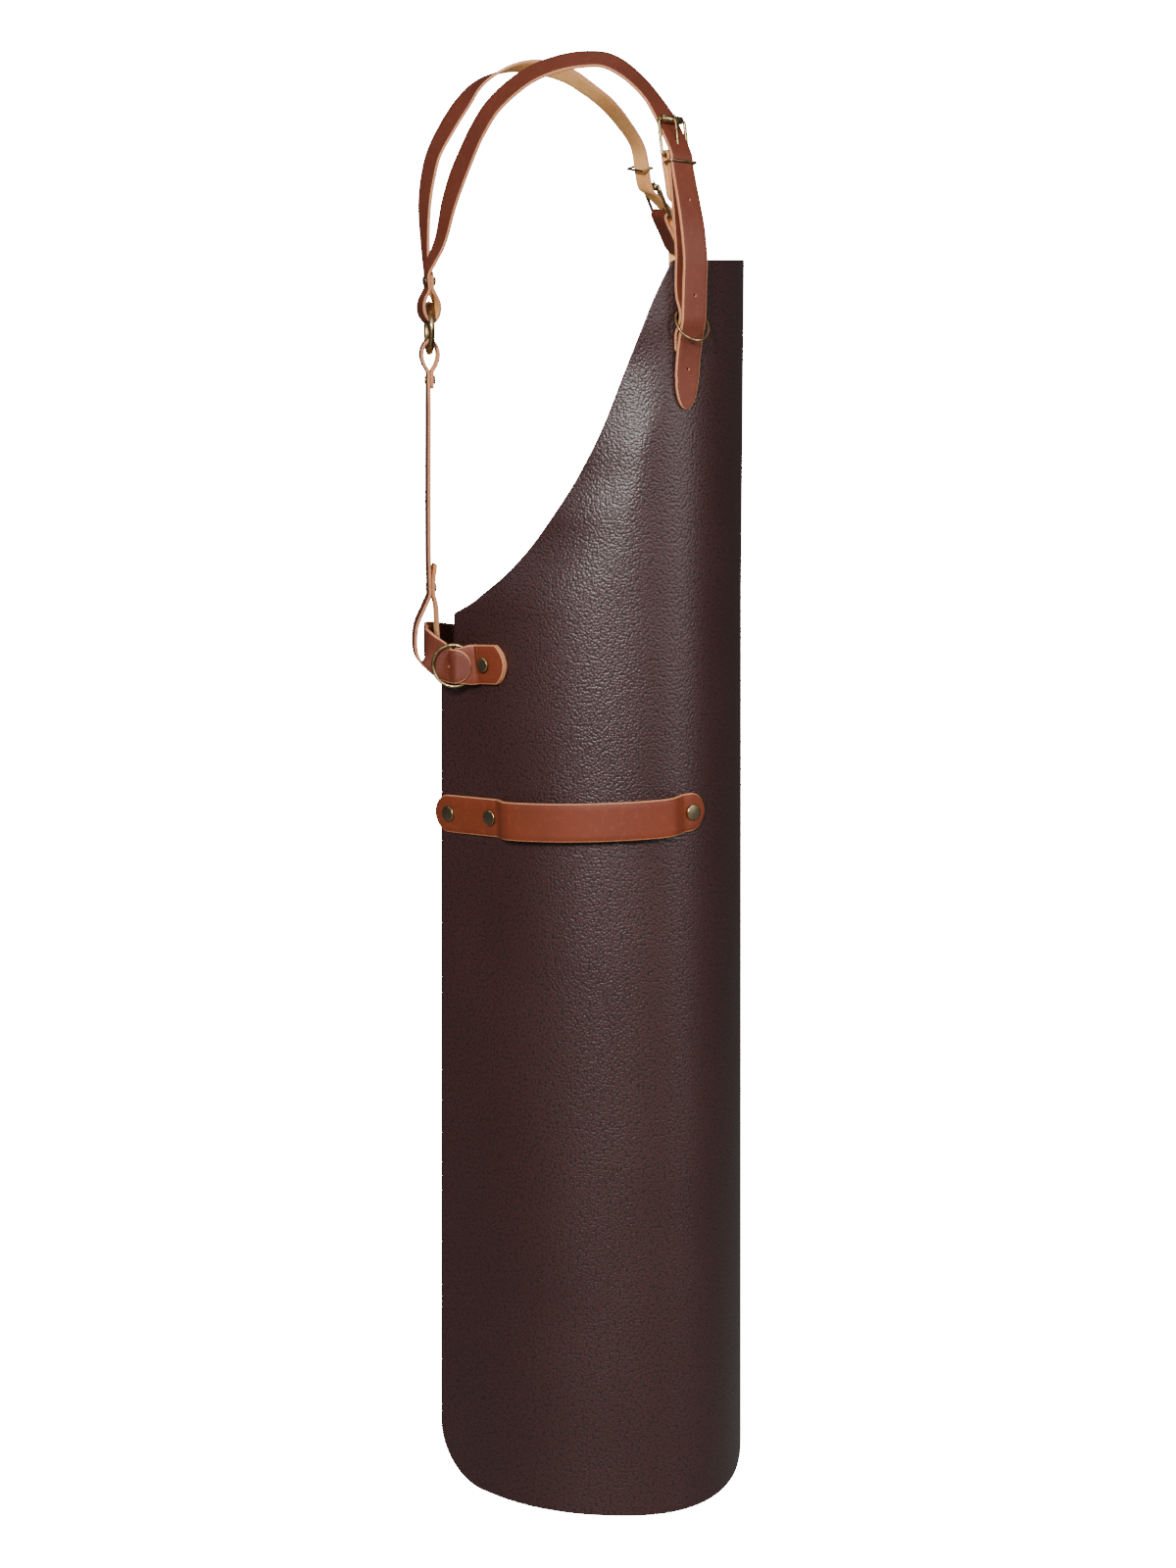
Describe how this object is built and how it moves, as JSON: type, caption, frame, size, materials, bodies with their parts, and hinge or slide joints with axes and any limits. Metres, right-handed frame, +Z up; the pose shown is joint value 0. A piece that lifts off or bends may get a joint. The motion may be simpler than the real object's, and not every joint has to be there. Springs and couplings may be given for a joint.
{
  "type": "bib apron",
  "caption": "Leather bib apron in its worn form: crossed shoulder straps to a back ring, waist belt through side rings, towel band on the right hip.",
  "frame": {"origin": "between the shoulders, level with the underside of the right strap's highest point", "axes": "+Z up, the wearer faces -Y, the wearer's right is -X"},
  "size_m": [0.3061, 0.2567, 1.0736],
  "materials": {
    "panel_leather": "pebbled oiled grain",
    "band_leather": "smooth waxed",
    "strap_leather": "smooth waxed, raw tan flesh side",
    "antique_brass": "antique plated, polished on the high spots"
  },
  "bodies": {
    "root": {"panel": "panel_leather", "towel_band": "band_leather", "side_tab_right": "band_leather", "side_tab_left": "band_leather", "waist_belt": "strap_leather", "back_strap": "strap_leather", "shoulder_strap_right": "strap_leather", "shoulder_strap_left": "strap_leather", "bib_strap_right": "strap_leather", "bib_strap_left": "strap_leather", "side_ring_right": "antique_brass", "side_ring_left": "antique_brass", "tab_rivet_right": "antique_brass", "tab_rivet_left": "antique_brass", "back_ring": "antique_brass", "back_strap_rivet_upper": "antique_brass", "back_strap_rivet_lower": "antique_brass", "shoulder_rivet_right": "antique_brass", "shoulder_rivet_left": "antique_brass", "buckle_frame_right": "antique_brass", "buckle_frame_left": "antique_brass", "buckle_roller_right": "antique_brass", "buckle_roller_left": "antique_brass", "buckle_prong_right": "antique_brass", "buckle_prong_left": "antique_brass", "keeper_right": "antique_brass", "keeper_left": "antique_brass", "bib_ring_right": "antique_brass", "bib_ring_left": "antique_brass", "bib_rivet_upper_right": "antique_brass", "bib_rivet_lower_right": "antique_brass", "bib_rivet_upper_left": "antique_brass", "bib_rivet_lower_left": "antique_brass", "band_rivet_back": "antique_brass", "band_rivet_middle": "antique_brass", "band_rivet_front": "antique_brass"}
  },
  "joints": []
}
